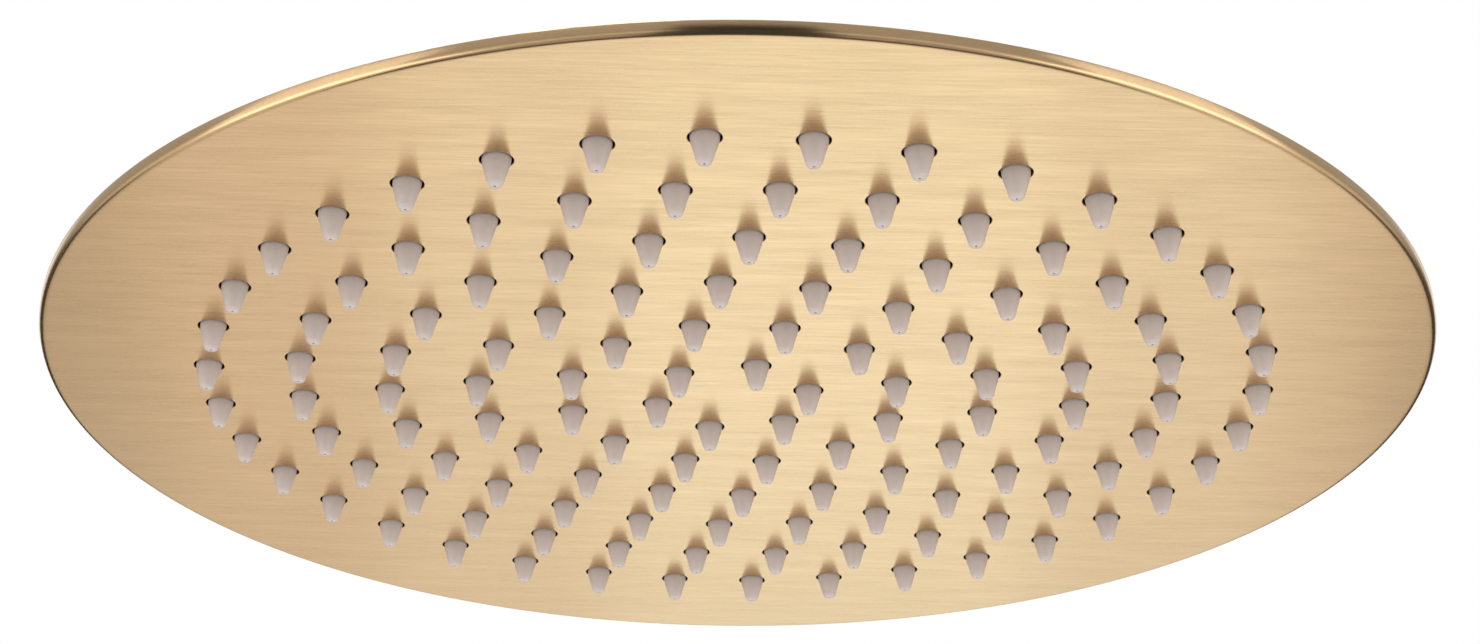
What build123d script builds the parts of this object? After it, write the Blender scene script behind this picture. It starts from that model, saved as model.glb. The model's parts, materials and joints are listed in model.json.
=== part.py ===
from build123d import *
from math import asin, cos, degrees, radians, sin, tan
import os

# A round rain shower head, in millimetres. The origin is the middle of the inlet thread's mouth,
# +Z points up into the shower arm, and the spray face looks down.

# Spray face: a shallow pressed pan
head_diameter = 250.0
rim_wall = 1.2
face_thickness = 1.2
edge_radius = 1.0

# Nozzle field: rings of holes, each ring with as many more holes as the first ring has
ring_count = 6
first_ring_radius = 14.2
field_margin = 28.6
nozzles_in_first_ring = 6
field_turn = 45.6
hole_diameter = 5.4

# Soft nozzles, moulded on one mat that lies inside the face
nozzle_gap = 0.37
nozzle_tip_diameter = 2.3
nozzle_length = 4.6
jet_diameter = 1.0
mat_thickness = 1.2
mat_border = 9.0

# Back cover: a spun sheet, from the flat flange in the rim up to the raised hub
cover_thickness = 1.0
cover_gap = 0.1
flange_width = 6.7
mat_clearance = 1.5
shoulder_rise = 4.0
field_rise = 4.0
hub_rise = 3.8
hub_slope_run = 10.0
hub_ledge = 8.5
shoulder_bend = 12.0
hub_foot_bend = 14.0
hub_top_bend = 5.0

# Ring that holds the mat's border down
retainer_width = 4.5
retainer_gap = 0.3
border_overhang = 0.2

# Swivel ball and its seat
ball_diameter = 22.0
ball_clearance = 0.1
seat_thickness = 1.3
tilt_limit = 15.0
edge_margin = 2.0
neck_margin = 2.8
neck_diameter = 13.0
waterway_diameter = 9.0

# Rubber ring under the ball
seal_section = 2.5
seal_angle = 128.0
seal_clearance = 0.1
seal_fit = 0.02

# Socket boss in the hub
boss_wall = 3.5
boss_floor = 4.05
boss_flange_width = 6.0
boss_flange_thickness = 2.0
boss_mouth_height = 0.5
boss_passage_gap = 1.1
boss_fit = 0.1

# Collar that closes the socket over the ball
lip_height = 1.25
collar_wall = 2.4
collar_corner = 4.0
collar_thread_gap = 0.1
collar_step_gap = 0.3
collar_foot_gap = 0.3
collar_flat_depth = 1.2
swing_clearance = 0.8

# Inlet: hexagon with a half-inch pipe thread, drilled here to the thread's inner diameter
thread_inner_diameter = 18.631
thread_length = 11.0
thread_relief = 0.5
inlet_wall = 2.2
inlet_floor = 2.3
hexagon_chamfer_angle = 30.0
washer_thickness = 2.0
washer_gap = 0.2
washer_lip = 0.35

# Flow regulator and filter screen under the washer
regulator_diameter = 12.5
regulator_height = 3.8
regulator_gap = 0.1
regulator_recess = 1.2
regulator_rim = 1.2
regulator_hole_diameter = 1.8
regulator_hole_count = 6
screen_thickness = 0.4
screen_gap = 0.1
screen_hole_diameter = 1.4
screen_hole_pitch = 2.3
screen_ring_count = 2

# Radii worked out from the sizes above
head_radius = head_diameter / 2
rim_inner_radius = head_radius - rim_wall
last_ring_radius = rim_inner_radius - field_margin
ring_pitch = (last_ring_radius - first_ring_radius) / (ring_count - 1)
mat_radius = last_ring_radius + mat_border
nozzle_root_radius = hole_diameter / 2 - nozzle_gap
ball_radius = ball_diameter / 2
seat_inner_radius = ball_radius + ball_clearance
seat_outer_radius = seat_inner_radius + seat_thickness
socket_radius = seat_outer_radius + ball_clearance
boss_radius = socket_radius + boss_wall
collar_bore_radius = boss_radius + collar_thread_gap
collar_radius = collar_bore_radius + collar_wall
hub_radius = collar_radius + hub_ledge
thread_radius = thread_inner_diameter / 2
pocket_radius = thread_radius + thread_relief
regulator_radius = regulator_diameter / 2
regulator_bore_radius = regulator_radius + regulator_gap

# Depths in the inlet, measured down from its mouth
washer_shoulder = thread_length + washer_gap + washer_thickness
regulator_bed = washer_shoulder + screen_gap + screen_thickness + regulator_height
inlet_height = regulator_bed + inlet_floor

# Angle from the top of the ball down to the collar's lip, which clears the tilted neck
lip_angle = degrees(asin(neck_diameter / ball_diameter)) + tilt_limit + neck_margin

# Height of the collar above the ball's centre, and how high its corner swings when the head tilts
collar_top = socket_radius * cos(radians(lip_angle)) + lip_height
corner_radius_out = collar_radius - collar_corner
corner_height = collar_top - collar_corner
tilt = radians(tilt_limit)
swing_height = corner_height * cos(tilt) + corner_radius_out * sin(tilt) + collar_corner + swing_clearance

# Levels, from the inlet's mouth down to the spray face
ball_z = -inlet_height - swing_height
seal_distance = ball_radius + seal_clearance + seal_section / 2
seal_radius = seal_distance * sin(radians(seal_angle))
seal_z = ball_z + seal_distance * cos(radians(seal_angle))
seal_floor_z = seal_z - seal_section / 2 - seal_fit
boss_bottom_z = seal_floor_z - boss_floor
hub_under_z = boss_bottom_z + boss_flange_thickness
hub_top_z = hub_under_z + cover_thickness
rim_top_z = hub_top_z - hub_rise - field_rise - shoulder_rise
face_inner_z = rim_top_z - cover_thickness
face_z = face_inner_z - face_thickness
mat_top_z = face_inner_z + mat_thickness
collar_foot_z = hub_top_z + collar_foot_gap

# Angles of the seat on the ball, from the top of the ball down
seal_half_angle = degrees(asin(seal_section / 2 / seal_distance))
seat_top_angle = lip_angle + tilt_limit + edge_margin
seat_bottom_angle = seal_angle - seal_half_angle - tilt_limit - edge_margin


def turned(*outline):
    return revolve(Plane.XZ * make_face(outline), Axis.Z)


def disc(radius, low, high):
    return Pos(0, 0, low) * Cylinder(radius, high - low, align=(Align.CENTER, Align.CENTER, Align.MIN))


def tapered(low_radius, high_radius, low, high):
    standing = (Align.CENTER, Align.CENTER, Align.MIN)
    return Pos(0, 0, low) * Cone(low_radius, high_radius, high - low, align=standing)


def on_ball(radius, angle):
    return (radius * sin(radians(angle)), ball_z + radius * cos(radians(angle)))


def ball_arc(radius, top_angle, bottom_angle):
    return CenterArc((0, ball_z), radius, 90 - bottom_angle, bottom_angle - top_angle)


def rings(first_radius, pitch, count, step, turn):
    places = []
    for ring in range(count):
        places += PolarLocations(first_radius + ring * pitch, step * (ring + 1), turn).locations
    return places


nozzle_places = rings(first_ring_radius, ring_pitch, ring_count, nozzles_in_first_ring, field_turn)


def make_face_plate():
    pan = disc(head_radius, face_z, rim_top_z) - disc(rim_inner_radius, face_inner_z, rim_top_z)
    lower_edge = pan.edges().group_by(Axis.Z)[0]
    pan = fillet(lower_edge, edge_radius)
    hole = disc(hole_diameter / 2, face_z, face_inner_z)
    return pan - [place * hole for place in nozzle_places]


def make_nozzle_mat():
    tip_z = face_z - nozzle_length
    nozzle = disc(nozzle_root_radius, face_z, face_inner_z)
    nozzle += tapered(nozzle_tip_diameter / 2, nozzle_root_radius, tip_z, face_z)
    jet = disc(jet_diameter / 2, tip_z, mat_top_z)
    mat = disc(mat_radius, face_inner_z, mat_top_z) + [place * nozzle for place in nozzle_places]
    return mat - [place * jet for place in nozzle_places]


def cover_outline():
    flange_outer = rim_inner_radius - cover_gap
    flange_inner = flange_outer - flange_width
    field_outer = mat_radius + mat_clearance
    hub_foot = hub_radius + hub_slope_run
    field_outer_z = rim_top_z + shoulder_rise
    return [
        (boss_radius + boss_fit, hub_top_z),
        (hub_radius, hub_top_z),
        (hub_foot, field_outer_z + field_rise),
        (field_outer, field_outer_z),
        (flange_inner, rim_top_z),
        (flange_outer, rim_top_z),
    ]


def make_back_cover():
    bends = [hub_top_bend, hub_foot_bend, shoulder_bend, shoulder_bend]
    outside = FilletPolyline(*cover_outline(), radius=bends)
    section = make_face(offset(outside, amount=cover_thickness, side=Side.RIGHT))
    return revolve(Plane.XZ * section, Axis.Z)


def make_mat_retainer():
    outer = mat_radius - border_overhang
    top_z = rim_top_z + shoulder_rise - cover_thickness - retainer_gap
    return disc(outer, mat_top_z, top_z) - disc(outer - retainer_width, mat_top_z, top_z)


def make_socket_boss():
    pocket = seal_radius + seal_section / 2 + seal_fit
    pocket_top_z = ball_z - (socket_radius**2 - pocket**2) ** 0.5
    ball_at_floor = (ball_radius**2 - (ball_z - seal_floor_z) ** 2) ** 0.5
    passage = ball_at_floor + boss_passage_gap
    flange = boss_radius + boss_flange_width
    mouth_z = ball_z + boss_mouth_height
    bowl_bottom = 180 - degrees(asin(pocket / socket_radius))
    bowl = ball_arc(socket_radius, 90, bowl_bottom)
    wall = Polyline(
        (pocket, pocket_top_z),
        (pocket, seal_floor_z),
        (passage, seal_floor_z),
        (passage, boss_bottom_z),
        (flange, boss_bottom_z),
        (flange, hub_under_z),
        (boss_radius, hub_under_z),
        (boss_radius, mouth_z),
        (socket_radius, mouth_z),
        (socket_radius, ball_z),
    )
    return turned(bowl, wall)


def make_ball_seal():
    return Pos(0, 0, seal_z) * Torus(seal_radius, seal_section / 2)


def make_ball_seat():
    outer = ball_arc(seat_outer_radius, seat_top_angle, seat_bottom_angle)
    inner = ball_arc(seat_inner_radius, seat_top_angle, seat_bottom_angle)
    top = Line(outer @ 1, inner @ 1)
    bottom = Line(outer @ 0, inner @ 0)
    return turned(outer, top, inner, bottom)


def make_retaining_collar():
    step_z = ball_z + boss_mouth_height + collar_step_gap
    step_angle = 90 - degrees(asin((step_z - ball_z) / socket_radius))
    top_z = ball_z + collar_top
    lip_radius, lip_z = on_ball(socket_radius, lip_angle)
    mouth_radius = lip_radius + (top_z - lip_z) * tan(radians(lip_angle))
    corner = (corner_radius_out, ball_z + corner_height)
    bowl = ball_arc(socket_radius, lip_angle, step_angle)
    skirt = Polyline(
        bowl @ 0,
        (collar_bore_radius, step_z),
        (collar_bore_radius, collar_foot_z),
        (collar_radius, collar_foot_z),
        (collar_radius, corner[1]),
    )
    rounding = CenterArc(corner, collar_corner, 0, 90)
    mouth = Polyline(rounding @ 1, (mouth_radius, top_z), bowl @ 1)
    collar = turned(bowl, skirt, rounding, mouth)
    flat_height = ball_z - collar_foot_z
    flat = Box(collar_flat_depth, 2 * collar_radius, flat_height, align=(Align.MAX, Align.CENTER, Align.MIN))
    right_flat = Pos(collar_radius, 0, collar_foot_z) * flat
    return collar - right_flat - right_flat.rotate(Axis.Z, 180)


def make_swivel_inlet():
    across_flats = 2 * (pocket_radius + inlet_wall)
    corner_radius = across_flats / 2 / cos(radians(30))
    chamfer_drop = (corner_radius - across_flats / 2) * tan(radians(hexagon_chamfer_angle))
    hexagon = extrude(RegularPolygon(corner_radius, 6), -inlet_height)
    blank = turned(
        Polyline(
            (0, 0),
            (across_flats / 2, 0),
            (corner_radius, -chamfer_drop),
            (corner_radius, chamfer_drop - inlet_height),
            (across_flats / 2, -inlet_height),
            (0, -inlet_height),
            close=True,
        )
    )
    neck = disc(neck_diameter / 2, ball_z, -inlet_height)
    inlet = (hexagon & blank) + neck + Pos(0, 0, ball_z) * Sphere(ball_radius)
    inlet -= disc(thread_radius, -thread_length, 0)
    inlet -= disc(pocket_radius, -washer_shoulder, -thread_length)
    inlet -= disc(regulator_bore_radius, -regulator_bed, -washer_shoulder)
    return inlet - disc(waterway_diameter / 2, ball_z - ball_radius, -regulator_bed)


def make_inlet_washer():
    washer_top = washer_thickness - washer_shoulder
    outer = disc(pocket_radius - washer_gap, -washer_shoulder, washer_top)
    return outer - disc(regulator_radius - washer_lip, -washer_shoulder, washer_top)


def make_filter_screen():
    top_z = -washer_shoulder - screen_gap
    low_z = top_z - screen_thickness
    hole = disc(screen_hole_diameter / 2, low_z, top_z)
    places = rings(screen_hole_pitch, screen_hole_pitch, screen_ring_count, 6, 0)
    return disc(regulator_radius, low_z, top_z) - [place * hole for place in places] - hole


def make_flow_regulator():
    low_z = -regulator_bed
    top_z = low_z + regulator_height
    recess_radius = regulator_radius - regulator_rim
    regulator = disc(regulator_radius, low_z, top_z)
    regulator -= disc(recess_radius, top_z - regulator_recess, top_z)
    hole = disc(regulator_hole_diameter / 2, low_z, top_z)
    hole_circle = (waterway_diameter - regulator_hole_diameter) / 2 - regulator_gap
    return regulator - [place * hole for place in PolarLocations(hole_circle, regulator_hole_count)]


pieces = {
    "face_plate": make_face_plate(),
    "nozzle_mat": make_nozzle_mat(),
    "mat_retainer": make_mat_retainer(),
    "back_cover": make_back_cover(),
    "socket_boss": make_socket_boss(),
    "ball_seal": make_ball_seal(),
    "ball_seat": make_ball_seat(),
    "retaining_collar": make_retaining_collar(),
    "swivel_inlet": make_swivel_inlet(),
    "inlet_washer": make_inlet_washer(),
    "filter_screen": make_filter_screen(),
    "flow_regulator": make_flow_regulator(),
}

os.makedirs("parts", exist_ok=True)
for name, piece in pieces.items():
    export_step(piece, f"parts/{name}.step")
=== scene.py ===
import bpy
import json
import math
import random
from mathutils import Matrix, Vector


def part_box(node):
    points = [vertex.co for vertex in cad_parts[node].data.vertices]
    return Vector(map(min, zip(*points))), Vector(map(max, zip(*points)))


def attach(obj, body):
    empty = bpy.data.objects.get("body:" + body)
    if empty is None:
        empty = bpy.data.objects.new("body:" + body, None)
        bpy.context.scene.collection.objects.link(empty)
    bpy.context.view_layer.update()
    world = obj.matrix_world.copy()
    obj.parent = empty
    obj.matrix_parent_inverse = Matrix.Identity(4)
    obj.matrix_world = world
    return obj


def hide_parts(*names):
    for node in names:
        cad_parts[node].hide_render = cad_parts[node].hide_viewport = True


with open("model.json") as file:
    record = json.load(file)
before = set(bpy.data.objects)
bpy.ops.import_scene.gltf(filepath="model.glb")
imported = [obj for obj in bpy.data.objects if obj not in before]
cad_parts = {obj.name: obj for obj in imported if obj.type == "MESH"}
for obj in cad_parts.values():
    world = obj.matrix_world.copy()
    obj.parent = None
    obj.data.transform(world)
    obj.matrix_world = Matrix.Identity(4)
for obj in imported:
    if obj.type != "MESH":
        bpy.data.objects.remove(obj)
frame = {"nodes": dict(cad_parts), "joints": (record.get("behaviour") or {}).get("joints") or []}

mm = 0.001
overcut = 1 * mm         # how far a cutting tool stands out of the piece
weldWithin = 0.001 * mm
random.seed(11)
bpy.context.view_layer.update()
faceLow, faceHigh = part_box("face_plate")
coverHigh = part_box("back_cover")[1]
collarLow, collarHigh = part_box("retaining_collar")
matLow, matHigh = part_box("nozzle_mat")
faceZ = faceLow.z        # underside of the spray face
rimTopZ = faceHigh.z     # top of the rim, level with the cover's flange
ballZ = frame["joints"][0]["pos_m"][2]
print("frame loaded:", len(frame["nodes"]), "nodes, face at", round(faceZ, 5))


# small tools for modelling

def restart():
    if bpy.context.mode != "OBJECT":
        bpy.ops.object.mode_set(mode="OBJECT")
    bpy.ops.object.select_all(action="DESELECT")


def pick(piece):
    restart()
    piece.select_set(True)
    bpy.context.view_layer.objects.active = piece


def startEdit(kind="VERT", action="SELECT"):
    bpy.ops.object.mode_set(mode="EDIT")
    bpy.ops.mesh.select_mode(type=kind)
    bpy.ops.mesh.select_all(action=action)


def endEdit():
    bpy.ops.object.mode_set(mode="OBJECT")


def chooseEdges(piece, wanted):
    # leaves the piece in edit mode, with the edges selected whose two ends are wanted
    startEdit("EDGE", "DESELECT")
    endEdit()
    points = piece.data.vertices
    for edge in piece.data.edges:
        edge.select = all(wanted(points[index].co) for index in edge.vertices)
    bpy.ops.object.mode_set(mode="EDIT")


def lathe(name, sides, stations, capFirst=False, capLast=False):
    # a circle, extruded edge by edge through (radius, height) stations
    restart()
    radius, z = stations[0]
    fill = "NGON" if capFirst else "NOTHING"
    bpy.ops.mesh.primitive_circle_add(vertices=sides, radius=radius, fill_type=fill)
    piece = bpy.context.object
    piece.name = name
    piece.data.name = name
    startEdit()
    bpy.ops.transform.translate(value=(0, 0, z))
    for nextRadius, nextZ in stations[1:]:
        bpy.ops.mesh.extrude_edges_move(TRANSFORM_OT_translate={"value": (0, 0, nextZ - z)})
        grow = nextRadius / radius
        bpy.ops.transform.resize(value=(grow, grow, 1), center_override=(0, 0, nextZ))
        radius, z = nextRadius, nextZ
    if capLast:
        bpy.ops.mesh.edge_face_add()
    bpy.ops.mesh.select_all(action="SELECT")
    bpy.ops.mesh.remove_doubles(threshold=weldWithin)
    bpy.ops.mesh.normals_make_consistent(inside=False)
    endEdit()
    return piece


def arc(centre, radius, start, end, steps):
    # stations along a rounding, angles in degrees from the outward direction
    found = []
    for step in range(steps + 1):
        angle = math.radians(start + (end - start) * step / steps)
        found.append((centre[0] + radius * math.cos(angle), centre[1] + radius * math.sin(angle)))
    return found


def combine(piece, tool, operation):
    pick(piece)
    cut = piece.modifiers.new("cut", "BOOLEAN")
    cut.operation = operation
    cut.solver = "EXACT"
    cut.object = tool
    bpy.ops.object.modifier_apply(modifier=cut.name)
    bpy.data.objects.remove(tool)


def softenEdges(piece, width, segments, angle):
    pick(piece)
    bevel = piece.modifiers.new("soft", "BEVEL")
    bevel.width = width
    bevel.segments = segments
    bevel.limit_method = "ANGLE"
    bevel.angle_limit = math.radians(angle)
    bpy.ops.object.modifier_apply(modifier=bevel.name)


def roundRing(piece, radius, z, offset, segments):
    # rounds the ring of edges at that radius and height
    near = 0.02 * mm

    def onRing(spot):
        return abs(spot.xy.length - radius) < near and abs(spot.z - z) < near

    pick(piece)
    chooseEdges(piece, onRing)
    bpy.ops.mesh.bevel(offset=offset, segments=segments, affect="EDGES")
    endEdit()


def smoothShade(piece, angle):
    pick(piece)
    bpy.ops.object.shade_smooth_by_angle(angle=math.radians(angle))


def joinInto(piece, others):
    pick(piece)
    for other in others:
        other.select_set(True)
    bpy.ops.object.join()


def scatter(piece, places, sway=0.0, pivotZ=0.0):
    # a copy with its own mesh at every place, each leaning a little,
    # all joined in one object at the origin
    copies = []
    pivot = Matrix.Translation((0, 0, pivotZ))
    for place in places:
        lean = Matrix.Rotation(math.radians(random.uniform(-sway, sway)), 4, "X")
        lean = lean @ Matrix.Rotation(math.radians(random.uniform(-sway, sway)), 4, "Y")
        twin = piece.copy()
        twin.data = piece.data.copy()
        twin.data.transform(Matrix.Translation(place) @ pivot @ lean @ pivot.inverted())
        bpy.context.scene.collection.objects.link(twin)
        copies.append(twin)
    name = piece.name
    bpy.data.objects.remove(piece)
    joinInto(copies[0], copies[1:])
    copies[0].name = name
    return copies[0]


def settle(piece, body, slotName, *nodes):
    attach(piece, body)
    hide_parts(*nodes)


# spray face: a pressed pan with a slim rim and six rings of holes

sprayFace = {
    "sides": 288,
    "edgeRadius": 1.0 * mm,
    "edgeSteps": 8,
    "rimWall": 1.2 * mm,
    "sheet": 1.2 * mm,
    "topSoft": 0.15 * mm,
    "topSteps": 3,
    "flatBand": 0.4 * mm,
    "firstRing": 14.2 * mm,
    "ringPitch": 16.2 * mm,
    "ringCount": 6,
    "ringStep": 6,           # nozzles that each ring has more than the last
    "turn": 45.6,
    "holeRadius": 2.7 * mm,
    "holeSoft": 0.1 * mm,
    "holeSides": 28,
    "smoothAngle": 30,
    "wallBelow": 0.3,        # a face whose normal has less of Z than this is a wall
    "flatAbove": 0.99,       # and one with more of it is flat
}
innerFloorZ = faceZ + sprayFace["sheet"]


def nozzlePlaces(size):
    places = []
    for ring in range(size["ringCount"]):
        radius = size["firstRing"] + ring * size["ringPitch"]
        count = size["ringStep"] * (ring + 1)
        for spot in range(count):
            angle = math.radians(size["turn"] + 360 * spot / count)
            places.append(Vector((radius * math.cos(angle), radius * math.sin(angle), 0)))
    return places


def makeSprayFace(size):
    outer = faceHigh.y
    edge, soft = size["edgeRadius"], size["topSoft"]
    stations = [(outer - edge - size["flatBand"], faceZ)]
    stations += arc((outer - edge, faceZ + edge), edge, -90, 0, size["edgeSteps"])
    stations += arc((outer - soft, rimTopZ - soft), soft, 0, 90, size["topSteps"])
    stations += [(outer - size["rimWall"], rimTopZ), (outer - size["rimWall"], innerFloorZ)]
    pan = lathe("sprayFace", size["sides"], stations, capFirst=True, capLast=True)
    hole, flare = size["holeRadius"], size["holeRadius"] + size["holeSoft"]
    punch = lathe("punch", size["holeSides"], [
        (flare, faceZ - overcut),
        (flare, faceZ),
        (hole, faceZ + size["holeSoft"]),
        (hole, innerFloorZ + overcut),
    ], capFirst=True, capLast=True)
    combine(pan, scatter(punch, nozzlePlaces(size)), "DIFFERENCE")
    smoothShade(pan, size["smoothAngle"])
    return pan


def holeWalls(pan, size):
    # the punched walls, told from the rest by their place
    inside = size["firstRing"] + size["ringCount"] * size["ringPitch"]
    return [face for face in pan.data.polygons
            if abs(face.normal.z) < size["wallBelow"] and face.center.xy.length < inside]


def rimFaces(pan, size):
    # the rounded edge and the rim's wall
    inside = faceHigh.y - size["edgeRadius"] - size["flatBand"]
    return [face for face in pan.data.polygons
            if face.normal.z > -size["flatAbove"] and face.center.xy.length > inside]


facePlate = makeSprayFace(sprayFace)
settle(facePlate, "head", "brushed_brass", "face_plate")
print("spray face:", len(facePlate.data.polygons), "faces")


# soft nozzles on their mat

nozzle = {
    "sides": 12,
    "rootRadius": 2.33 * mm,
    "rootDepth": 0.4 * mm,       # how far the root reaches into the mat
    "flank": ((2.15 * mm, 1.15 * mm), (1.86 * mm, 2.05 * mm)),   # radius at that distance below the face
    "tipRadius": 1.3 * mm,
    "tipRound": 0.55 * mm,
    "shoulder": (0.45, 0.2),     # a point of the rounding: inwards and up, as shares of tipRound
    "boreRadius": 0.25 * mm,
    "boreDepth": 1.2 * mm,
    "sway": 0.7,
    "smoothAngle": 60,
    "matSides": 96,
}


def makeNozzleMat(size):
    tipZ, rounding = matLow.z, size["tipRound"]
    inwards, upwards = size["shoulder"]
    stations = [
        (size["rootRadius"], innerFloorZ + size["rootDepth"]),
        (size["rootRadius"], faceZ),
    ]
    stations += [(radius, faceZ - depth) for radius, depth in size["flank"]]
    stations += [
        (size["tipRadius"], tipZ + rounding),
        (size["tipRadius"] - inwards * rounding, tipZ + upwards * rounding),
        (size["boreRadius"], tipZ),
        (size["boreRadius"], tipZ + size["boreDepth"]),
    ]
    one = lathe("nozzles", size["sides"], stations, capFirst=True, capLast=True)
    smoothShade(one, size["smoothAngle"])
    field = scatter(one, nozzlePlaces(sprayFace), size["sway"], faceZ)
    border = [(matHigh.x, innerFloorZ), (matHigh.x, matHigh.z)]
    mat = lathe("nozzleMat", size["matSides"], border, capFirst=True, capLast=True)
    joinInto(mat, [field])
    return mat


nozzleMat = makeNozzleMat(nozzle)
settle(nozzleMat, "head", "silicone", "nozzle_mat")
print("nozzles:", len(nozzleMat.data.polygons), "faces")


# back cover: one spun sheet from the flange in the rim up to the hub

cover = {
    "sides": 192,
    "sheet": 1.0 * mm,
    "boreRadius": 16.1 * mm,
    "hubRadius": 27.0 * mm,
    "hubFoot": 37.0 * mm,
    "hubFootRise": 8.0 * mm,
    "fieldOuter": 105.7 * mm,
    "fieldRise": 4.0 * mm,
    "flangeInner": 117.0 * mm,
    "bends": (0.92 * mm, 2.15 * mm, 1.7 * mm, 2.06 * mm),
    "bendSteps": 5,
    "smoothAngle": 35,
}


def makeBackCover(size):
    corners = [
        (size["hubRadius"], coverHigh.z),
        (size["hubFoot"], rimTopZ + size["hubFootRise"]),
        (size["fieldOuter"], rimTopZ + size["fieldRise"]),
        (size["flangeInner"], rimTopZ),
    ]
    stations = [(size["boreRadius"], coverHigh.z)] + corners + [(coverHigh.x, rimTopZ)]
    sheet = lathe("backCover", size["sides"], stations)
    for (radius, z), bend in zip(corners, size["bends"]):
        roundRing(sheet, radius, z, bend, size["bendSteps"])
    pick(sheet)
    startEdit()
    bpy.ops.mesh.normals_make_consistent(inside=False)
    endEdit()
    if sum(face.normal.z for face in sheet.data.polygons) < 0:
        startEdit()
        bpy.ops.mesh.flip_normals()
        endEdit()
    wall = sheet.modifiers.new("wall", "SOLIDIFY")
    wall.thickness = size["sheet"]
    wall.offset = -1
    bpy.ops.object.modifier_apply(modifier=wall.name)
    smoothShade(sheet, size["smoothAngle"])
    return sheet


backCover = makeBackCover(cover)
settle(backCover, "head", "brushed_brass", "back_cover")
print("back cover:", len(backCover.data.polygons), "faces")


# collar that closes the socket over the ball

collar = {
    "sides": 128,
    "socketRadius": 12.5 * mm,
    "socketSteps": 6,
    "boreRadius": 16.1 * mm,
    "stepHeight": 0.8 * mm,
    "lipAngle": 54.02,
    "corner": 4.0 * mm,
    "cornerSteps": 10,
    "flatDepth": 1.2 * mm,
    "edgeSoft": 0.3 * mm,
    "edgeSteps": 3,
    "smoothAngle": 35,
}


def makeCollar(size):
    outer, corner, socket = collarHigh.y, size["corner"], size["socketRadius"]
    footZ, topZ, stepZ = collarLow.z, collarHigh.z, ballZ + size["stepHeight"]
    stepAngle = math.degrees(math.asin(size["stepHeight"] / socket))
    bowl = arc((0, ballZ), socket, 90 - size["lipAngle"], stepAngle, size["socketSteps"])
    lipRadius, lipZ = bowl[0]
    mouth = lipRadius + (topZ - lipZ) * math.tan(math.radians(size["lipAngle"]))
    stations = [(size["boreRadius"], footZ), (outer, footZ)]
    stations += arc((outer - corner, topZ - corner), corner, 0, 90, size["cornerSteps"])
    stations += [(mouth, topZ)] + bowl
    stations += [(size["boreRadius"], stepZ), (size["boreRadius"], footZ)]
    ring = lathe("retainingCollar", size["sides"], stations)
    for radius, z in ((outer, footZ), (mouth, topZ)):
        roundRing(ring, radius, z, size["edgeSoft"], size["edgeSteps"])
    flatFootZ = footZ - overcut
    for side in (-1, 1):
        restart()
        bpy.ops.mesh.primitive_cube_add(size=1, location=(side * outer, 0, (flatFootZ + ballZ) / 2))
        flat = bpy.context.object
        bpy.ops.transform.resize(value=(2 * size["flatDepth"], 2 * outer, ballZ - flatFootZ))
        combine(ring, flat, "DIFFERENCE")
    smoothShade(ring, size["smoothAngle"])
    return ring


retainingCollar = makeCollar(collar)
settle(retainingCollar, "head", "turned_brass", "retaining_collar")
print("collar:", len(retainingCollar.data.polygons), "faces")


# inlet: hexagon with its pipe thread, neck and ball

inlet = {
    "acrossFlats": 24.031 * mm,
    "height": 19.8 * mm,
    "edgeSoft": 0.35 * mm,
    "edgeSteps": 3,
    "edgeAngle": 25,
    "chamferAngle": 30,
    "chamferSides": 96,
    "chamferOver": 1.02,         # the chamfering blank passes the corners by this factor
    "threadRadius": 9.3155 * mm,
    "threadLength": 11.0 * mm,
    "threadPitch": 1.814 * mm,
    "threadRise": 0.5 * mm,
    "threadSunk": 0.2 * mm,      # how far the ridge's foot lies in the wall
    "threadShare": 0.85,         # the ridge's foot, as a share of the pitch
    "threadStart": -10.1 * mm,
    "threadTurns": 5,
    "threadSteps": 48,
    "mouthChamfer": 0.8 * mm,
    "pocketRadius": 9.8155 * mm,
    "pocketDepth": 13.2 * mm,
    "regulatorRadius": 6.35 * mm,
    "regulatorDepth": 17.5 * mm,
    "waterRadius": 4.5 * mm,
    "waterDepth": 18.6 * mm,
    "neckRadius": 6.5 * mm,
    "neckSunk": 0.6 * mm,        # how far the neck reaches into the hexagon
    "ballRadius": 11.0 * mm,
    "ballEnd": -65,              # the ball's flat end, in degrees below its middle
    "ballSteps": 20,
    "sides": 72,
    "smoothAngle": 35,
}


def makeThread(size):
    # a triangle, pointing at the axis, carried round and up the bore
    restart()
    bpy.ops.mesh.primitive_circle_add(vertices=3, radius=1, fill_type="NOTHING",
                                      rotation=(math.radians(90), math.radians(-90), 0))
    ridge = bpy.context.object
    ridge.name = "thread"
    bpy.ops.object.transform_apply(location=True, rotation=True, scale=True)
    deep = size["threadRise"] + size["threadSunk"]
    tall = size["threadPitch"] * size["threadShare"]
    middle = size["threadRadius"] + size["threadSunk"] - deep / 3
    firstDeep, firstTall = 1.5, math.sqrt(3)      # of a triangle with a radius of 1
    startEdit()
    bpy.ops.transform.resize(value=(deep / firstDeep, 1, tall / firstTall), center_override=(0, 0, 0))
    bpy.ops.transform.translate(value=(middle, 0, size["threadStart"]))
    endEdit()
    turns = ridge.modifiers.new("turns", "SCREW")
    turns.screw_offset = size["threadPitch"]
    turns.iterations = size["threadTurns"]
    turns.steps = turns.render_steps = size["threadSteps"]
    bpy.ops.object.modifier_apply(modifier=turns.name)
    startEdit()
    bpy.ops.mesh.fill_holes(sides=3)
    bpy.ops.mesh.normals_make_consistent(inside=False)
    endEdit()
    return ridge


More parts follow.
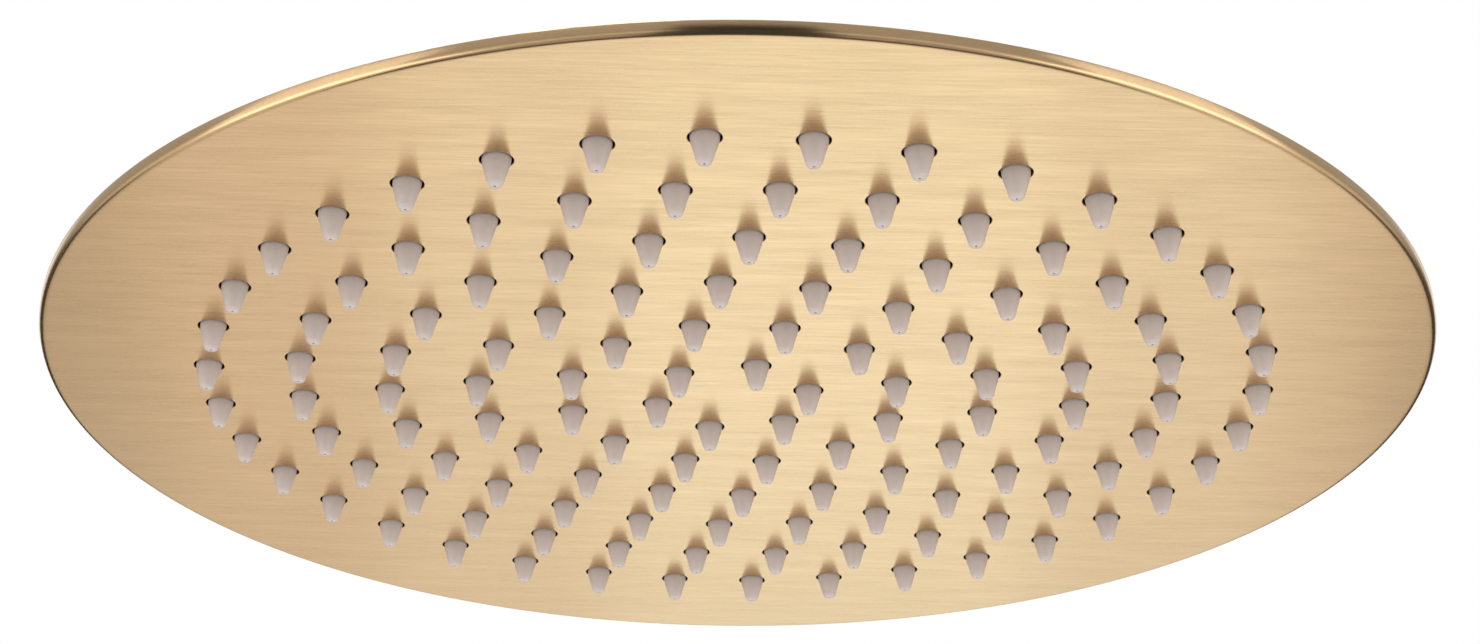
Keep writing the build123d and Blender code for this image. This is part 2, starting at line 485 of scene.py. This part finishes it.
def makeHexagon(size):
    # six sides with soft edges, chamfered at both ends as on a lathe
    restart()
    half, height, over = size["acrossFlats"] / 2, size["height"], size["chamferOver"]
    halfSide = math.radians(30)      # from the middle of a flat to its corner
    corner = half / math.cos(halfSide)
    bpy.ops.mesh.primitive_cylinder_add(vertices=6, radius=corner, depth=height,
                                        location=(0, 0, -height / 2), rotation=(0, 0, halfSide))
    body = bpy.context.object
    body.name = "swivelInlet"
    bpy.ops.object.transform_apply(location=True, rotation=True, scale=True)
    softenEdges(body, size["edgeSoft"], size["edgeSteps"], size["edgeAngle"])
    drop = (corner - half) * math.tan(math.radians(size["chamferAngle"]))
    blank = lathe("blank", size["chamferSides"], [
        (half, 0),
        (corner * over, -drop * over),
        (corner * over, drop * over - height),
        (half, -height),
    ], capFirst=True, capLast=True)
    combine(body, blank, "INTERSECT")
    return body


def makeInlet(size):
    body = makeHexagon(size)
    thread, pocket = size["threadRadius"], size["pocketRadius"]
    drill = lathe("drill", size["sides"], [
        (thread + size["mouthChamfer"] + overcut, overcut),
        (thread, -size["mouthChamfer"]),
        (thread, -size["threadLength"]),
        (pocket, -size["threadLength"]),
        (pocket, -size["pocketDepth"]),
        (size["regulatorRadius"], -size["pocketDepth"]),
        (size["regulatorRadius"], -size["regulatorDepth"]),
        (size["waterRadius"], -size["regulatorDepth"]),
        (size["waterRadius"], -size["waterDepth"]),
    ], capFirst=True, capLast=True)
    combine(body, drill, "DIFFERENCE")
    ball, neck = size["ballRadius"], size["neckRadius"]
    neckAngle = 90 - math.degrees(math.asin(neck / ball))
    stations = [(neck, size["neckSunk"] - size["height"])]
    stations += arc((0, ballZ), ball, neckAngle, size["ballEnd"], size["ballSteps"])
    stem = lathe("stem", size["sides"], stations, capFirst=True, capLast=True)
    smoothShade(stem, size["smoothAngle"])
    smoothShade(body, size["smoothAngle"])
    joinInto(body, [stem, makeThread(size)])
    return body


swivelInlet = makeInlet(inlet)
settle(swivelInlet, "inlet", "turned_brass", "swivel_inlet")
print("inlet:", len(swivelInlet.data.polygons), "faces")


# shader groups shared by the finishes

noiseLow, noiseHigh = 0.3, 0.7      # most of a noise lies between these two


def newGroup(name, inputs, outputs):
    group = bpy.data.node_groups.new(name, "ShaderNodeTree")
    for way, sockets in (("INPUT", inputs), ("OUTPUT", outputs)):
        for label, kind in sockets.items():
            group.interface.new_socket(name=label, in_out=way, socket_type=kind)
    return group, group.nodes.new("NodeGroupInput"), group.nodes.new("NodeGroupOutput")


def feed(tree, value, socket):
    # a number is set, what another node puts out is linked
    if isinstance(value, (int, float)):
        socket.default_value = value
    else:
        tree.links.new(value, socket)


def math2(tree, operation, first, second):
    node = tree.nodes.new("ShaderNodeMath")
    node.operation = operation
    feed(tree, first, node.inputs[0])
    feed(tree, second, node.inputs[1])
    return node.outputs[0]


def spread(tree, value, low, high):
    ranged = tree.nodes.new("ShaderNodeMapRange")
    ranged.inputs["From Min"].default_value = noiseLow
    ranged.inputs["From Max"].default_value = noiseHigh
    feed(tree, low, ranged.inputs["To Min"])
    feed(tree, high, ranged.inputs["To Max"])
    tree.links.new(value, ranged.inputs["Value"])
    return ranged.outputs["Result"]


brushing = {
    "detail": 2,
    "roughness": 0.6,
    "wideStroke": 2.0,     # the broad streaks, as multiples of the hair lines
    "wideHair": 9.0,
    "fineShare": 0.6,
    "wideShare": 0.4,
}


def stretchedNoise(tree, parts, stroke, hair, size):
    joined = tree.nodes.new("ShaderNodeCombineXYZ")
    for axis, length in zip("XYZ", (stroke, hair, hair)):
        tree.links.new(math2(tree, "DIVIDE", parts.outputs[axis], length), joined.inputs[axis])
    noise = tree.nodes.new("ShaderNodeTexNoise")
    noise.inputs["Scale"].default_value = 1
    noise.inputs["Detail"].default_value = size["detail"]
    noise.inputs["Roughness"].default_value = size["roughness"]
    tree.links.new(joined.outputs["Vector"], noise.inputs["Vector"])
    return noise.outputs["Fac"]


def makeBrushGrain(size):
    # hair lines that run along the pattern's X, with broader streaks among them
    group, given, result = newGroup(
        "brushGrain",
        {"Vector": "NodeSocketVector", "Stroke": "NodeSocketFloat", "Hair": "NodeSocketFloat"},
        {"Tone": "NodeSocketFloat", "Height": "NodeSocketFloat"},
    )
    stroke, hair = given.outputs["Stroke"], given.outputs["Hair"]
    parts = group.nodes.new("ShaderNodeSeparateXYZ")
    group.links.new(given.outputs["Vector"], parts.inputs["Vector"])
    fine = stretchedNoise(group, parts, stroke, hair, size)
    wideStroke = math2(group, "MULTIPLY", stroke, size["wideStroke"])
    wideHair = math2(group, "MULTIPLY", hair, size["wideHair"])
    wide = stretchedNoise(group, parts, wideStroke, wideHair, size)
    fineTone = math2(group, "MULTIPLY", fine, size["fineShare"])
    wideTone = math2(group, "MULTIPLY", wide, size["wideShare"])
    group.links.new(math2(group, "ADD", fineTone, wideTone), result.inputs["Tone"])
    group.links.new(fine, result.inputs["Height"])
    return group


def makeMottling():
    # a soft cloudy tone, with the roughness following it
    group, given, result = newGroup(
        "mottling",
        {"Vector": "NodeSocketVector", "Scale": "NodeSocketFloat",
         "Rough From": "NodeSocketFloat", "Rough To": "NodeSocketFloat"},
        {"Tone": "NodeSocketFloat", "Roughness": "NodeSocketFloat"},
    )
    noise = group.nodes.new("ShaderNodeTexNoise")
    group.links.new(given.outputs["Vector"], noise.inputs["Vector"])
    group.links.new(given.outputs["Scale"], noise.inputs["Scale"])
    tone = noise.outputs["Fac"]
    rough = spread(group, tone, given.outputs["Rough From"], given.outputs["Rough To"])
    group.links.new(tone, result.inputs["Tone"])
    group.links.new(rough, result.inputs["Roughness"])
    return group


brushGrain = makeBrushGrain(brushing)
mottling = makeMottling()


# finishes

def newFinish(name):
    finish = bpy.data.materials.new(name)
    finish.use_nodes = True
    tree = finish.node_tree
    return finish, tree, tree.nodes["Principled BSDF"]


def addGroup(tree, group, place, values):
    node = tree.nodes.new("ShaderNodeGroup")
    node.node_tree = group
    tree.links.new(place, node.inputs["Vector"])
    for label, value in values.items():
        node.inputs[label].default_value = value
    return node.outputs


def addMottling(tree, place, size):
    roughFrom, roughTo = size["rough"]
    values = {"Scale": size["scale"], "Rough From": roughFrom, "Rough To": roughTo}
    return addGroup(tree, mottling, place, values)


def blendColours(tree, factor, first, second):
    mix = tree.nodes.new("ShaderNodeMix")
    mix.data_type = "RGBA"
    mix.inputs["A"].default_value = (*first, 1)
    mix.inputs["B"].default_value = (*second, 1)
    tree.links.new(factor, mix.inputs["Factor"])
    return mix.outputs["Result"]


def addBump(tree, shader, height, size):
    bump = tree.nodes.new("ShaderNodeBump")
    bump.inputs["Distance"].default_value = size["bump"]
    bump.inputs["Strength"].default_value = size["bumpStrength"]
    tree.links.new(height, bump.inputs["Height"])
    tree.links.new(bump.outputs["Normal"], shader.inputs["Normal"])


brass = {
    "dark": (0.733, 0.50, 0.274),
    "light": (0.837, 0.58, 0.326),
    "hair": 0.4 * mm,
    "bump": 0.002 * mm,
    "bumpStrength": 0.5,
    "anisotropic": 0.78,
    "turnRadius": 30 * mm,       # where strokes round the axis have their true length
    # length of a stroke, roughness of the light and of the dark strokes, turned or brushed along X
    "kinds": {
        "brushedBrass": (12 * mm, 0.24, 0.29, False),
        "rimBrass": (12 * mm, 0.18, 0.22, False),
        "spunBrass": (20 * mm, 0.30, 0.36, True),
    },
}


def turnedCoords(tree, place, turnRadius):
    # pattern coordinates that run round the Z axis: along the turn, out from the axis, up
    parts = tree.nodes.new("ShaderNodeSeparateXYZ")
    tree.links.new(place, parts.inputs["Vector"])
    x, y, z = (parts.outputs[axis] for axis in "XYZ")
    squares = math2(tree, "ADD", math2(tree, "MULTIPLY", x, x), math2(tree, "MULTIPLY", y, y))
    angle = math2(tree, "ARCTAN2", y, x)
    joined = tree.nodes.new("ShaderNodeCombineXYZ")
    tree.links.new(math2(tree, "MULTIPLY", angle, turnRadius), joined.inputs["X"])
    tree.links.new(math2(tree, "SQRT", squares, 0), joined.inputs["Y"])
    tree.links.new(z, joined.inputs["Z"])
    return joined.outputs["Vector"]


def makeBrass(name, size):
    stroke, lightRough, darkRough, turned = size["kinds"][name]
    finish, tree, shader = newFinish(name)
    place = tree.nodes.new("ShaderNodeTexCoord").outputs["Object"]
    if turned:
        place = turnedCoords(tree, place, size["turnRadius"])
    grain = addGroup(tree, brushGrain, place, {"Stroke": stroke, "Hair": size["hair"]})
    colour = blendColours(tree, spread(tree, grain["Tone"], 0, 1), size["dark"], size["light"])
    tree.links.new(colour, shader.inputs["Base Color"])
    tree.links.new(spread(tree, grain["Tone"], darkRough, lightRough), shader.inputs["Roughness"])
    addBump(tree, shader, grain["Height"], size)
    shader.inputs["Metallic"].default_value = 1
    shader.inputs["Anisotropic"].default_value = size["anisotropic"]
    tangent = tree.nodes.new("ShaderNodeTangent")
    tangent.direction_type = "RADIAL"
    tangent.axis = "Z" if turned else "X"
    tree.links.new(tangent.outputs["Tangent"], shader.inputs["Tangent"])
    return finish


silicone = {
    # the two ends of a painted shading by height: shaded at the root, lit at the tip
    "root": (0.57, 0.50, 0.474),
    "tip": (0.815, 0.716, 0.678),
    "cloudy": 0.25,      # share of the mottling in the tone, the rest is painted shade by height
    "scale": 900,
    "rough": (0.42, 0.55),
    "bump": 0.01 * mm,
    "bumpStrength": 0.2,
}


def makeSilicone(size):
    # painted shading by height: darker at the root, where the hole shades it, paler towards the tips
    finish, tree, shader = newFinish("greySilicone")
    place = tree.nodes.new("ShaderNodeTexCoord").outputs["Object"]
    cloud = addMottling(tree, place, size)
    parts = tree.nodes.new("ShaderNodeSeparateXYZ")
    tree.links.new(place, parts.inputs["Vector"])
    # painted shade: the tone goes from the shaded root at the face to the tip
    height = tree.nodes.new("ShaderNodeMapRange")
    height.inputs["From Min"].default_value = faceZ
    height.inputs["From Max"].default_value = matLow.z
    height.inputs["To Max"].default_value = 1 - size["cloudy"]
    tree.links.new(parts.outputs["Z"], height.inputs["Value"])
    cloudy = math2(tree, "MULTIPLY", cloud["Tone"], size["cloudy"])
    tone = math2(tree, "ADD", height.outputs["Result"], cloudy)
    tree.links.new(blendColours(tree, tone, size["root"], size["tip"]), shader.inputs["Base Color"])
    tree.links.new(cloud["Roughness"], shader.inputs["Roughness"])
    addBump(tree, shader, cloud["Tone"], size)
    return finish


# finishes without grain: two tones, scale of the mottling, roughness from and to, metal or not, gloss
plain = {
    "blackRubber": {
        "dark": (0.02, 0.02, 0.02),
        "light": (0.035, 0.035, 0.035),
        "scale": 600,
        "rough": (0.55, 0.7),
        "metallic": 0,
        "gloss": 0.5,
    },
    "whitePlastic": {
        "dark": (0.74, 0.74, 0.72),
        "light": (0.80, 0.80, 0.78),
        "scale": 400,
        "rough": (0.4, 0.5),
        "metallic": 0,
        "gloss": 0.5,
    },
    # the punched hole walls: a bare edge, painted near black as shade for the dark gaps round the nozzles
    "punchedEdge": {
        "dark": (0.012, 0.008, 0.005),
        "light": (0.022, 0.016, 0.01),
        "scale": 3000,
        "rough": (0.5, 0.7),
        "metallic": 0,
        "gloss": 0,
    },
    "screenSteel": {
        "dark": (0.52, 0.52, 0.52),
        "light": (0.64, 0.64, 0.64),
        "scale": 2000,
        "rough": (0.3, 0.4),
        "metallic": 1,
        "gloss": 0.5,
    },
}


def makePlain(name, size):
    finish, tree, shader = newFinish(name)
    place = tree.nodes.new("ShaderNodeTexCoord").outputs["Object"]
    cloud = addMottling(tree, place, size)
    colour = blendColours(tree, cloud["Tone"], size["dark"], size["light"])
    tree.links.new(colour, shader.inputs["Base Color"])
    tree.links.new(cloud["Roughness"], shader.inputs["Roughness"])
    shader.inputs["Metallic"].default_value = size["metallic"]
    shader.inputs["Specular IOR Level"].default_value = size["gloss"]
    return finish


finishes = {name: makeBrass(name, brass) for name in brass["kinds"]}
finishes["greySilicone"] = makeSilicone(silicone)
for name, size in plain.items():
    finishes[name] = makePlain(name, size)


def paint(piece, finish):
    piece.data.materials.clear()
    piece.data.materials.append(finish)


paint(facePlate, finishes["brushedBrass"])
# the hole walls take the painted shade, the rim its smoother brass
for name, findFaces in (("punchedEdge", holeWalls), ("rimBrass", rimFaces)):
    facePlate.data.materials.append(finishes[name])
    for face in findFaces(facePlate, sprayFace):
        face.material_index = len(facePlate.data.materials) - 1
for piece in (backCover, retainingCollar, swivelInlet, frame["nodes"]["socket_boss"]):
    paint(piece, finishes["spunBrass"])
paint(nozzleMat, finishes["greySilicone"])
for name in ("ball_seal", "inlet_washer"):
    paint(frame["nodes"][name], finishes["blackRubber"])
for name in ("ball_seat", "mat_retainer", "flow_regulator"):
    paint(frame["nodes"][name], finishes["whitePlastic"])
paint(frame["nodes"]["filter_screen"], finishes["screenSteel"])
print("finishes ready:", len(finishes))


# camera, as in the photograph: below the head, looking up

view = {
    "place": (-13.56 * mm, -451.18 * mm, -205.28 * mm),   # from the middle of the face
    "pitch": 26.027,
    "roll": 1.113,
    "lens": 65.671,
    "sensor": 36.0,
    "shift": 80 / 1480,      # pixels of the frame's width
    "clipStart": 10 * mm,
}


def makeCamera(size):
    data = bpy.data.cameras.new("camera")
    data.lens = size["lens"]
    data.sensor_width = size["sensor"]
    data.sensor_fit = "HORIZONTAL"
    data.shift_x = size["shift"]
    data.clip_start = size["clipStart"]
    camera = bpy.data.objects.new("camera", data)
    bpy.context.scene.collection.objects.link(camera)
    place = Vector(size["place"]) + Vector((0, 0, faceZ))
    tilt = Matrix.Rotation(math.radians(90 + size["pitch"]), 4, "X")
    roll = Matrix.Rotation(math.radians(size["roll"]), 4, "Z")
    camera.matrix_world = Matrix.Translation(place) @ tilt @ roll
    bpy.context.scene.camera = camera


makeCamera(view)


# studio: pale floor, white surroundings and soft lamps

studio = {
    "floorZ": -0.75,
    "floorSize": 30.0,
    "floorTone": (0.73, 0.71, 0.675),
    "floorRough": 0.9,
    "fadeFrom": 1.5,      # where the floor starts to fade into the white background, and where it ends
    "fadeTo": 7.0,
    "ambient": 0.75,
    # soft panels: place, aim, width, height, glow
    "panels": {
        "tallLeft": ((-1.5, -0.70, 0.43), (0, 0, 0.43), 1.0, 1.75, 0.7),
        "tallRight": ((1.5, -0.70, 0.43), (0, 0, 0.43), 1.0, 1.75, 0.7),
        "lowLeft": ((-1.0, -0.42, -0.55), (0, 0, 1.75), 0.75, 0.8, 1.2),
        "lowRight": ((1.0, -0.42, -0.55), (0, 0, 1.75), 0.75, 0.8, 1.2),
        "top": ((-0.5, -0.3, 1.7), (0, 0, -0.05), 1.0, 1.0, 2.8),
    },
    # the band that the brushed face shows: panels on a slope, each narrower one a little above the last
    "bandFoot": (0, 0.35, -0.73),
    "bandSlope": 21.4,
    "bandApart": 0.01,
    # to the right, up the slope, width, length, glow, tint
    "band": (
        (0.07, 0.45, 0.735, 0.82, 0.30, (1, 1, 1)),
        (0.08, 0.455, 0.48, 0.53, 0.39, (0.71, 1.0, 1.1)),
        (0.08, 0.595, 0.24, 0.35, 0.46, (0.71, 1.0, 1.1)),
    ),
    # what only reflections show: dark cloth under the head, a painted shade there, and behind the camera,
    # grey paper and walls
    "mattRough": 0.95,
    "clothLift": 0.01,    # above the floor
    "clothHalf": 0.42,
    "clothBack": 0.25,
    "clothMiddle": -0.12,
    "clothFront": -2.2,
    "clothTop": 1.35,
    "clothWaist": 0.1,
    "waistStep": 0.01,
    "clothTone": (0.04, 0.04, 0.04),
    "paperLift": 0.005,
    "paperHalf": 0.5,
    "paperBack": -0.1,
    "paperFront": -1.0,
    "paperTone": (0.42, 0.41, 0.39),
    "ringSides": 72,
    "wallRadius": 4.0,
    "wallLow": 0.3,
    "wallTop": 9.0,
    "wallOpen": 0.7,      # behind the head, from this share of the radius on, the wall stays low
    "wallGlow": 0.42,
    # dark cards behind the head, left and right, that draw its outline: angles from straight behind
    "cardRadius": 1.6,
    "cardInner": 0.85,
    "cardMiddle": 0.0,
    "cardTop": 0.3,
    "cardFrom": 20,
    "cardStep": 35,
    "cardTo": 60,
}


def newMatt(name, tone, rough):
    finish, tree, shader = newFinish(name)
    shader.inputs["Base Color"].default_value = (*tone, 1)
    shader.inputs["Roughness"].default_value = rough
    return finish, tree, shader


def makeFloorFinish(size):
    # for the camera alone, white far away and clear from below
    finish, tree, shader = newMatt("paleFloor", size["floorTone"], size["floorRough"])
    seen = tree.nodes.new("ShaderNodeLightPath").outputs["Is Camera Ray"]
    away = tree.nodes.new("ShaderNodeVectorMath")
    away.operation = "LENGTH"
    tree.links.new(tree.nodes.new("ShaderNodeTexCoord").outputs["Object"], away.inputs[0])
    fade = tree.nodes.new("ShaderNodeMapRange")
    fade.interpolation_type = "SMOOTHSTEP"
    fade.inputs["From Min"].default_value = size["fadeFrom"]
    fade.inputs["From Max"].default_value = size["fadeTo"]
    tree.links.new(away.outputs["Value"], fade.inputs["Value"])
    white = tree.nodes.new("ShaderNodeEmission").outputs["Emission"]
    clear = tree.nodes.new("ShaderNodeBsdfTransparent").outputs["BSDF"]
    below = tree.nodes.new("ShaderNodeNewGeometry").outputs["Backfacing"]
    look = shader.outputs["BSDF"]
    for other, share in ((white, fade.outputs["Result"]), (clear, below)):
        mix = tree.nodes.new("ShaderNodeMixShader")
        tree.links.new(math2(tree, "MULTIPLY", share, seen), mix.inputs["Fac"])
        tree.links.new(look, mix.inputs[1])
        tree.links.new(other, mix.inputs[2])
        look = mix.outputs["Shader"]
    tree.links.new(look, tree.nodes["Material Output"].inputs["Surface"])
    return finish


def makeFloor(size):
    restart()
    bpy.ops.mesh.primitive_plane_add(size=size["floorSize"], location=(0, 0, size["floorZ"]))
    floor = bpy.context.object
    floor.name = "floor"
    paint(floor, makeFloorFinish(size))


def forReflections(card):
    card.visible_camera = False
    card.visible_diffuse = False
    card.visible_transmission = False
    card.visible_shadow = False


def layFlat(name, half, back, front, z):
    restart()
    bpy.ops.mesh.primitive_plane_add(size=1)
    sheet = bpy.context.object
    sheet.name = name
    startEdit()
    bpy.ops.transform.resize(value=(2 * half, back - front, 1), center_override=(0, 0, 0))
    bpy.ops.transform.translate(value=(0, (back + front) / 2, z))
    endEdit()
    return sheet


def makeCloth(size):
    # a wide piece under the head, then a narrow one that widens to the front and goes up there
    wide, middle, step = size["clothHalf"], size["clothMiddle"], size["waistStep"]
    lowZ = size["floorZ"] + size["clothLift"]
    waist = size["clothWaist"] / wide

    def atFront(spot):
        return spot.y < middle + step

    # the wide piece under the head stands in for the shade beneath it, a painted shade seen only in
    # reflections
    cloth = layFlat("cloth", wide, size["clothBack"], middle, lowZ)
    chooseEdges(cloth, atFront)
    bpy.ops.mesh.extrude_edges_move(TRANSFORM_OT_translate={"value": (0, -step, 0)})
    bpy.ops.transform.resize(value=(waist, 1, 1), center_override=(0, 0, 0))
    bpy.ops.mesh.extrude_edges_move(TRANSFORM_OT_translate={"value": (0, size["clothFront"] - middle, 0)})
    bpy.ops.transform.resize(value=(1 / waist, 1, 1), center_override=(0, 0, 0))
    bpy.ops.mesh.extrude_edges_move(TRANSFORM_OT_translate={"value": (0, 0, size["clothTop"] - lowZ)})
    endEdit()
    finish = newMatt("darkCloth", size["clothTone"], size["mattRough"])[0]
    paint(cloth, finish)
    forReflections(cloth)
    return finish


def makePaper(size):
    # grey paper on the floor in front, beside the cloth
    lowZ = size["floorZ"] + size["paperLift"]
    paper = layFlat("paper", size["paperHalf"], size["paperBack"], size["paperFront"], lowZ)
    paint(paper, newMatt("greyPaper", size["paperTone"], size["mattRough"])[0])
    forReflections(paper)


def standRing(name, sides, stations, leftOut):
    # a round screen about the head, without the faces whose middle is left out
    ring = lathe(name, sides, stations)
    startEdit("FACE", "DESELECT")
    endEdit()
    for face in ring.data.polygons:
        face.select = leftOut(face.center)
    bpy.ops.object.mode_set(mode="EDIT")
    bpy.ops.mesh.delete(type="FACE")
    endEdit()
    return ring


def makeCards(size, finish):
    # tall ones near the middle, low ones with a foot on the floor further out
    radius, lowZ = size["cardRadius"], size["floorZ"] + size["clothLift"]

    def leftOut(middle):
        away = math.degrees(math.atan2(abs(middle.x), middle.y))
        onFloor = middle.z < lowZ + size["clothLift"]
        if away < size["cardStep"]:
            return onFloor or away < size["cardFrom"]
        return middle.z > size["cardMiddle"] or away > size["cardTo"]

    stations = [(size["cardInner"], lowZ)]
    stations += [(radius, z) for z in (lowZ, size["cardMiddle"], size["cardTop"])]
    cards = standRing("cards", size["ringSides"], stations, leftOut)
    paint(cards, finish)
    forReflections(cards)


def makeWalls(size):
    # low all round, high in front and at the sides
    radius = size["wallRadius"]

    def leftOut(middle):
        return middle.y > size["wallOpen"] * radius and middle.z > size["wallLow"]

    heights = (size["floorZ"], size["wallLow"], size["wallTop"])
    walls = standRing("walls", size["ringSides"], [(radius, z) for z in heights], leftOut)
    finish, tree, shader = newFinish("greyWalls")
    shader.inputs["Base Color"].default_value = (0, 0, 0, 1)
    shader.inputs["Specular IOR Level"].default_value = 0
    shader.inputs["Emission Color"].default_value = (1, 1, 1, 1)
    shader.inputs["Emission Strength"].default_value = size["wallGlow"]
    paint(walls, finish)
    forReflections(walls)


def makeWorld(size):
    # white for the camera and in reflections, dimmer as light on the head
    world = bpy.data.worlds.new("studio")
    bpy.context.scene.world = world
    world.use_nodes = True
    tree = world.node_tree
    tree.nodes.clear()
    path = tree.nodes.new("ShaderNodeLightPath")
    seen = math2(tree, "MAXIMUM", path.outputs["Is Camera Ray"], path.outputs["Is Glossy Ray"])
    seen = math2(tree, "MAXIMUM", seen, path.outputs["Is Transmission Ray"])
    ambient = tree.nodes.new("ShaderNodeBackground")
    ambient.inputs["Color"].default_value = (1, 1, 1, 1)
    ambient.inputs["Strength"].default_value = size["ambient"]
    white = tree.nodes.new("ShaderNodeBackground")
    white.inputs["Color"].default_value = (1, 1, 1, 1)
    mix = tree.nodes.new("ShaderNodeMixShader")
    tree.links.new(seen, mix.inputs["Fac"])
    tree.links.new(ambient.outputs["Background"], mix.inputs[1])
    tree.links.new(white.outputs["Background"], mix.inputs[2])
    output = tree.nodes.new("ShaderNodeOutputWorld")
    tree.links.new(mix.outputs["Shader"], output.inputs["Surface"])


def makePanel(name, place, aim, wide, tall, glow, tint=(1, 1, 1)):
    data = bpy.data.lights.new(name, "AREA")
    data.shape = "RECTANGLE"
    data.size = wide
    data.size_y = tall
    data.energy = glow * math.pi * wide * tall
    data.color = tint
    panel = bpy.data.objects.new(name, data)
    bpy.context.scene.collection.objects.link(panel)
    panel.location = place
    panel.rotation_mode = "QUATERNION"
    panel.rotation_quaternion = (Vector(aim) - Vector(place)).to_track_quat("-Z", "Y")
    panel.visible_camera = False


def makeBand(size):
    slope = Matrix.Rotation(math.radians(size["bandSlope"]), 3, "X")
    for step, (right, up, wide, tall, glow, tint) in enumerate(size["band"]):
        place = Vector(size["bandFoot"]) + slope @ Vector((right, up, step * size["bandApart"]))
        makePanel("band", place, place + slope @ Vector((0, 0, 1)), wide, tall, glow, tint)


makeFloor(studio)
darkCloth = makeCloth(studio)
makePaper(studio)
makeCards(studio, darkCloth)
makeWalls(studio)
makeWorld(studio)
for name, setting in studio["panels"].items():
    makePanel(name, *setting)
makeBand(studio)
bpy.context.scene.view_settings.view_transform = "Standard"
print("studio ready")
